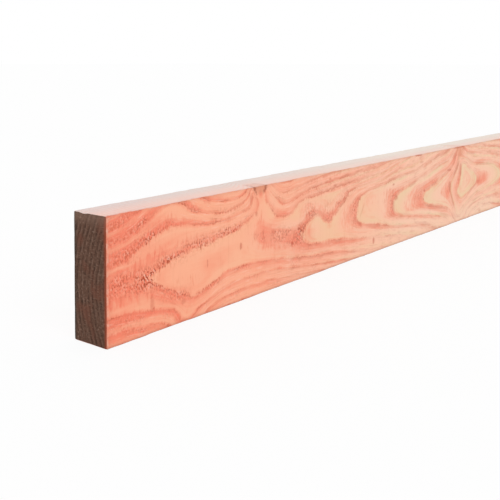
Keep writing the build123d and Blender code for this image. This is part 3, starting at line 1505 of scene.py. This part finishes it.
    def skin(self) -> tuple[np.ndarray, np.ndarray]:
        """Places the vertices of the four long sides.

        Returns:
            The vertices and their outward directions, section by section from the near end.
        """
        ends = (self.low.x, self.high.x)
        full, drawn_in = self.section(), self.section(self.end_break)
        lines = [(ends[0], drawn_in)] + [(x, full) for x in self.stations()] + [(ends[1], drawn_in)]
        blank = np.zeros((len(full), 1))
        places = [np.hstack([blank + x, outline[:, :2]]) for x, outline in lines]
        outward = [np.hstack([blank, outline[:, 2:]]) for _, outline in lines]
        return np.concatenate(places), np.concatenate(outward)

    def caps(self) -> tuple[np.ndarray, np.ndarray]:
        """Places the vertices inside the two ends.

        Returns:
            The vertices and their outward directions, the near end's first.
        """
        inset = self.arris
        heights = np.linspace(self.low.z + inset, self.high.z - inset, self.face_steps + 1)
        widths = np.linspace(self.low.y + inset, self.high.y - inset, self.edge_steps + 1)
        z, y = np.meshgrid(heights, widths, indexing="ij")
        places, outward = [], []
        for x, heading in ((self.low.x, -1.0), (self.high.x, 1.0)):
            places.append(np.stack([np.full(y.size, x), y.ravel(), z.ravel()], axis=1))
            outward.append(np.tile((heading, 0.0, 0.0), (y.size, 1)))
        return np.concatenate(places), np.concatenate(outward)

    def faces(self, sections: int, around: int) -> tuple[list[tuple[int, ...]], list[Side]]:
        """Joins the vertices.

        Args:
            sections: How many sections the long sides have.
            around: How many vertices each section has.

        Returns:
            The faces, and the material slot of each.
        """
        long_sides = []
        for section in range(sections - 1):
            here, there = section * around, (section + 1) * around
            for point in range(around):
                after = (point + 1) % around
                long_sides.append((here + point, there + point, there + after, here + after))
        ends = []
        columns = self.edge_steps + 1
        partners = self.cap_partners()
        for end, rim in ((0, 0), (1, (sections - 1) * around)):
            first = sections * around + end * (self.face_steps + 1) * columns
            cells = []
            for row in range(self.face_steps):
                for column in range(self.edge_steps):
                    corner = first + row * columns + column
                    cells.append((corner, corner + columns, corner + columns + 1, corner + 1))
            for point in range(around):
                after = (point + 1) % around
                pair = (partners[after], partners[point])
                inner = [first + row * columns + column for row, column in pair]
                cells.append((rim + point, rim + after, *dict.fromkeys(inner)))
            ends += [cell[::-1] for cell in cells] if end else cells
        sides = [Side.SAWN] * len(long_sides) + [Side.CROSSCUT] * len(ends)
        return long_sides + ends, sides

    def relief(self, places: np.ndarray, outward: np.ndarray, ring: np.ndarray) -> np.ndarray:
        """Gives how far the rough surface lies below the plain shape.

        Args:
            places: The vertices of the plain shape.
            outward: Their outward directions.
            ring: Their ring numbers.

        Returns:
            A distance for each vertex, never below 0.
        """
        middle = (np.array(self.low) + np.array(self.high)) / 2
        half = (np.array(self.high) - np.array(self.low)) / 2
        from_corner = half - np.abs(places - middle)
        to_arris = np.hypot(from_corner[:, 1], from_corner[:, 2])
        # Each long corner is worn by its own line of the waviness
        back_line, top_line = self.wear_lines
        corner = (places[:, 1] > middle[1]) * back_line + (places[:, 2] > middle[2]) * top_line
        worn = 0.5 + 0.5 * Wander(Seed.WEAR, *self.wear_lengths).at(places[:, 0], corner)
        wear = self.arris_wear * np.clip(worn, 0.0, 1.0) * np.exp(-to_arris / self.wear_reach)
        across = places[:, 1] * outward[:, 2] - places[:, 2] * outward[:, 1]
        sawn = 0.5 + 0.5 * Wander(Seed.SAW, *self.saw_lengths).at(places[:, 0], across)
        wave = self.saw_wave * np.clip(sawn, 0.0, 2.0)
        soft = np.clip(1 - (ring - np.floor(ring)) / self.soft_share, 0.0, 1.0)
        torn = np.random.default_rng(Seed.FIBRES).uniform(*self.hollow_range, len(places))
        return wear + wave + self.band_hollow * soft * torn

    def ring_widths(self, ring: np.ndarray, skin: np.ndarray, around: int) -> np.ndarray:
        """Gives how wide one ring is on the surface.

        Args:
            ring: The ring numbers of all vertices.
            skin: The vertices of the long sides.
            around: How many vertices each section has.

        Returns:
            A width for each vertex.
        """
        spots = skin.reshape(-1, around, 3)
        grid = ring[: len(skin)].reshape(-1, around)
        lengthwise = np.gradient(grid, spots[:, 0, 0], axis=0)
        after, before = (np.roll(spots, turn, axis=1) for turn in (-1, 1))
        girthwise = np.roll(grid, -1, axis=1) - np.roll(grid, 1, axis=1)
        girthwise /= np.linalg.norm(after - before, axis=2)
        steepness = np.full(len(ring), 1 / (self.rings.ring_pitch * self.rings.unit))
        steepness[: len(skin)] = np.hypot(lengthwise, girthwise).ravel()
        return 1 / np.maximum(steepness, 1 / self.widest_ring)

    def weathering(self, places: np.ndarray, outward: np.ndarray) -> tuple[np.ndarray, np.ndarray]:
        """Gives where the top edge's painted sheen lies, and where the painted shade and the dark
        rims lie.

        Args:
            places: The vertices of the plain shape.
            outward: Their outward directions.

        Returns:
            The share of painted sheen and the share of painted shade and dark rims at each vertex.
        """
        behind = (places[:, 1] - self.low.y) / (self.high.y - self.low.y)
        # The top edge, and a strip down the top of the front face, are painted pale as sheen of the
        # light from above
        facing_up = np.clip((outward[:, 2] - self.top_turn) / self.top_ease, 0.0, 1.0)
        to_top = np.hypot(places[:, 1] - self.low.y, self.high.z - places[:, 2])
        top_front, face_top = self.sheen_shares
        past_front = np.clip(behind / self.sheen_strip, 0.0, 1.0)
        faded = facing_up * (top_front + (1 - top_front) * past_front)
        faded = np.maximum(faded, face_top * np.exp(-to_top / self.sheen_reach))
        # Painted shade along the lower corners next to the floor, and darker rims along the ends and
        # the top front corner
        corner_reach, end_reach = self.dark_rim_reach
        floor_share, end_share, top_share = self.dark_rim_shares
        to_side = np.minimum(places[:, 1] - self.low.y, self.high.y - places[:, 1])
        to_floor = np.hypot(to_side, places[:, 2] - self.low.z)
        to_end = np.minimum(places[:, 0] - self.low.x, self.high.x - places[:, 0])
        grime = floor_share * np.exp(-to_floor / corner_reach)
        grime += end_share * np.exp(-to_end / end_reach) * (1 - facing_up)
        grime += top_share * np.exp(-to_top / corner_reach)
        return faded, grime

    def soaking(self, places: np.ndarray) -> tuple[np.ndarray, np.ndarray]:
        """Gives where the front face took up more or less dye, and where the saw tore it.

        Args:
            places: The vertices of the plain shape.

        Returns:
            The extra dye and the torn share at each vertex.
        """
        along, up, depth = self.rings.local(places)
        soaked, torn = np.zeros(len(places)), np.zeros(len(places))
        for patch in PATCHES:
            beside, above = patch.offsets(along, up)
            spread = (beside**2 + above**2) ** self.patch_flatness
            share = np.exp(-self.patch_fall * spread - depth / self.patch_depth)
            soaked += patch.dye * share
            torn = np.maximum(torn, patch.torn * share)
        return soaked, torn

    def texture_map(self, mesh: bpy.types.Mesh, sections: int, around: int) -> None:
        """Lays the stud out on a square: the length in strips, one above the other, then the ends.

        Args:
            mesh: The stud's mesh.
            sections: How many sections its long sides have.
            around: How many vertices each section has.
        """
        corners = np.empty(len(mesh.loops), int)
        mesh.loops.foreach_get("vertex_index", corners)
        places = np.empty(len(mesh.vertices) * 3)
        mesh.vertices.foreach_get("co", places)
        places = places.reshape(-1, 3) - np.array(self.low)
        size = np.array(self.high) - np.array(self.low)
        girth = 2 * (size[1] + size[2])
        gap = self.bake_gap
        strip_length = size[0] / self.bake_strips
        height = self.bake_strips * (girth + gap) + size[1] + 2 * gap
        width = strip_length + 2 * gap

        outline = self.section()[:, :2]
        steps = np.linalg.norm(np.diff(outline, axis=0, append=outline[:1]), axis=1)
        travel = np.concatenate([[0.0], np.cumsum(steps)])
        travel *= girth / travel[-1]
        side_quads = (sections - 1) * around
        quad = np.arange(side_quads)
        start, point = quad // around, quad % around
        station = places[: sections * around : around, 0]
        here, there = station[start], station[start + 1]
        strip = np.minimum((here + there) / 2 // strip_length, self.bake_strips - 1)
        u = np.stack([here, there, there, here], axis=1)
        v = np.stack([travel[point], travel[point], travel[point + 1], travel[point + 1]], axis=1)
        u = u - (strip * strip_length)[:, None] + gap
        v = v + (strip * (girth + gap))[:, None] + gap
        spots = np.empty((len(corners), 2))
        spots[: side_quads * 4, 0] = u.ravel()
        spots[: side_quads * 4, 1] = v.ravel()
        rest = places[corners[side_quads * 4 :]]
        far = rest[:, 0] > size[0] / 2
        spots[side_quads * 4 :, 0] = rest[:, 2] + gap + far * (size[2] + gap)
        spots[side_quads * 4 :, 1] = rest[:, 1] + gap + self.bake_strips * (girth + gap)
        layer = mesh.uv_layers.new(name="OFBake")
        layer.data.foreach_set("uv", (spots / (width, height)).ravel())

    def build(self) -> bpy.types.Object:
        """Makes the stud's mesh, with its ring numbers, and dresses it.

        Returns:
            The new object, in its place.
        """
        skin, skin_outward = self.skin()
        inside, inside_outward = self.caps()
        around = len(self.section())
        sections = len(skin) // around
        places = np.concatenate([skin, inside])
        outward = np.concatenate([skin_outward, inside_outward])
        ring = self.rings.numbers(places)
        bark, heart = self.rings.knots(places)
        faded, grime = self.weathering(places, outward)
        soaked, torn = self.soaking(places)
        rough = places - outward * self.relief(places, outward, ring)[:, None]
        rough[:, 2] -= self.chip.drop(places, self.low, self.high)

        mesh = bpy.data.meshes.new(PIECE_NAME)
        faces, sides = self.faces(sections, around)
        mesh.from_pydata(rough, [], faces)
        mesh.polygons.foreach_set("material_index", sides)
        carried = {
            Layer.RING: ring,
            Layer.RING_WIDTH: self.ring_widths(ring, skin, around),
            Layer.BARK: bark,
            Layer.HEART: heart,
            Layer.TOP_SHEEN: faded,
            Layer.SHADE_AND_DARK_RIMS: grime,
            Layer.SOAKED: soaked,
            Layer.TORN: torn,
        }
        for layer, values in carried.items():
            attribute = mesh.attributes.new(layer.value, "FLOAT", "POINT")
            attribute.data.foreach_set("value", values.astype(np.float32))
        self.texture_map(mesh, sections, around)
        mesh.shade_smooth()
        mesh.set_sharp_from_angle(angle=math.radians(self.sharp_angle))
        mesh.update()
        self.dress(mesh)
        return add_object(PIECE_NAME, mesh)

    def dress(self, mesh: bpy.types.Mesh) -> None:
        """Gives the mesh its finishes, in the order of its material slots."""
        mesh.materials.append(SawnFaceFinish().material(self.low, self.high))
        mesh.materials.append(EndGrainFinish().material(self.low, self.high))


@dataclass(frozen=True)
class Lamp:
    """A soft studio lamp, far enough away to light the whole length alike.

    Attributes:
        name: Its name.
        direction: Where its light goes.
        level: How bright white card facing it would be, from this lamp alone.
        spread: How wide its light source looks, in degrees.
    """

    name: str
    direction: tuple[float, float, float]
    level: float
    spread: float

    def hang(self) -> None:
        """Adds the lamp to the scene."""
        light = bpy.data.lights.new(self.name, "SUN")
        light.energy = self.level * math.pi
        light.angle = math.radians(self.spread)
        lamp = add_object(self.name, light)
        lamp.rotation_euler = Vector(self.direction).to_track_quat("-Z", "Y").to_euler()


@dataclass
class Studio:
    """A plain white studio with the camera of the photograph.

    Attributes:
        low: The lowest corner of the stud's box.
        high: The highest corner of the stud's box.
        floor_reach: How far the floor reaches from the origin.
        floor_grey: How light the card is that the floor is made of.
        floor_glow: How much of the floor's white is its own where it is seen.
        sky_level: How bright the light from all round is.
        lamps: The lamps.
        sensor_width: The width of the camera's sensor, in millimetres.
        image_pixels: The width and height of the image.
        focal_pixels: The camera's focal length, in pixels of the image.
        shift_pixels: How far the image is shifted down, in pixels of the image.
        heading: The way the camera looks, in degrees from the stud's length towards its back.
        look_down: How far below level the camera looks, in degrees.
        stand: Where the camera stands, in depths of the stud, from the near end's front corner on
            the floor.
    """

    low: Vector
    high: Vector
    floor_reach: float = 40.0
    floor_grey: float = 0.9
    floor_glow: float = 0.9
    sky_level: float = 0.605
    lamps: tuple[Lamp, ...] = (
        Lamp("key_lamp", (0.25, 0.75, -0.62), 0.34, 40.0),
        Lamp("top_lamp", (0.1, -0.2, -1.0), 0.13, 60.0),
        Lamp("back_lamp", (-0.4, -0.85, -0.45), 0.16, 60.0),
    )
    sensor_width: float = 36.0
    image_pixels: int = 500
    focal_pixels: float = 808.9
    shift_pixels: float = 162.0
    heading: float = 38.73
    look_down: float = 2.0
    stand: tuple[float, float, float] = (-3.962, -4.535, 2.153)

    def seen_white(self, bench: ShaderBench) -> Signal:
        """Gives 1 for what the camera, a mirror or a glass would show, and 0 for what lights."""
        rays = bench.add("ShaderNodeLightPath", {}, {}).outputs
        camera, glossy = Signal(bench, rays["Is Camera Ray"]), Signal(bench, rays["Is Glossy Ray"])
        return camera.larger(glossy).larger(Signal(bench, rays["Is Transmission Ray"]))

    def lay_floor(self) -> bpy.types.Object:
        """Lays a white floor that still takes the stud's shadow.

        Returns:
            The floor.
        """
        reach = self.floor_reach
        mesh = bpy.data.meshes.new("studio_floor")
        corners = [(-reach, -reach, 0), (reach, -reach, 0), (reach, reach, 0), (-reach, reach, 0)]
        mesh.from_pydata(corners, [], [(0, 1, 2, 3)])
        bench, material = ShaderBench.for_material("white_floor")
        grey = (self.floor_grey, self.floor_grey, self.floor_grey, 1.0)
        card = bench.add("ShaderNodeBsdfDiffuse", {}, {"Color": grey})
        glow = bench.add("ShaderNodeEmission", {}, {"Color": WHITE, "Strength": 1.0})
        share = self.seen_white(bench) * self.floor_glow
        inputs = {0: share, 1: card.outputs["BSDF"], 2: glow.outputs["Emission"]}
        bench.surface(bench.add("ShaderNodeMixShader", {}, inputs).outputs["Shader"])
        mesh.materials.append(material)
        return add_object("studio_floor", mesh)

    def fill_world(self) -> None:
        """Gives even light from all round, and white behind the stud."""
        world = bpy.data.worlds.new("studio")
        world.use_nodes = True
        bpy.context.scene.world = world
        bench = ShaderBench(world.node_tree)
        light = bench.add("ShaderNodeBackground", {}, {"Color": WHITE, "Strength": self.sky_level})
        shown = bench.add("ShaderNodeBackground", {}, {"Color": WHITE, "Strength": 1.0})
        inputs = {0: self.seen_white(bench), 1: light.outputs[0], 2: shown.outputs[0]}
        mixed = bench.add("ShaderNodeMixShader", {}, inputs)
        bench.surface(mixed.outputs["Shader"], "ShaderNodeOutputWorld")

    def set_camera(self) -> None:
        """Sets the camera where the photograph was taken from: nearly level, and shifted down."""
        camera = bpy.data.cameras.new("photo_camera")
        camera.sensor_width = self.sensor_width
        camera.lens = camera.sensor_width * self.focal_pixels / self.image_pixels
        camera.shift_y = -self.shift_pixels / self.image_pixels
        camera.clip_end = 4 * self.floor_reach
        holder = add_object("photo_camera", camera)
        depth = self.high.z - self.low.z
        holder.location = self.low + Vector(self.stand) * depth
        tilt, turn = math.radians(90 - self.look_down), math.radians(self.heading - 90)
        holder.rotation_euler = (tilt, 0.0, turn)
        bpy.context.scene.camera = holder

    def build(self) -> bpy.types.Object:
        """Sets up the studio.

        Returns:
            The floor.
        """
        self.set_camera()
        self.fill_world()
        for lamp in self.lamps:
            lamp.hang()
        bpy.context.scene.view_settings.view_transform = "Standard"
        return self.lay_floor()


def main() -> None:
    """Builds the stud and its studio, hangs the stud on its body and hides the imported part."""
    logging.basicConfig(level=logging.INFO, format="%(name)s: %(message)s")
    low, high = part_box(STUD_NODE)
    floor = Studio(low, high).build()
    LOG.info("floor %s laid", floor.name)
    stud = TimberStud(low, high, GrowthRings(low, high)).build()
    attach(stud, STUD_BODY)
    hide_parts(STUD_NODE)
    LOG.info("piece %s: %d faces", stud.name, len(stud.data.polygons))


if __name__ == "__main__":
    main()
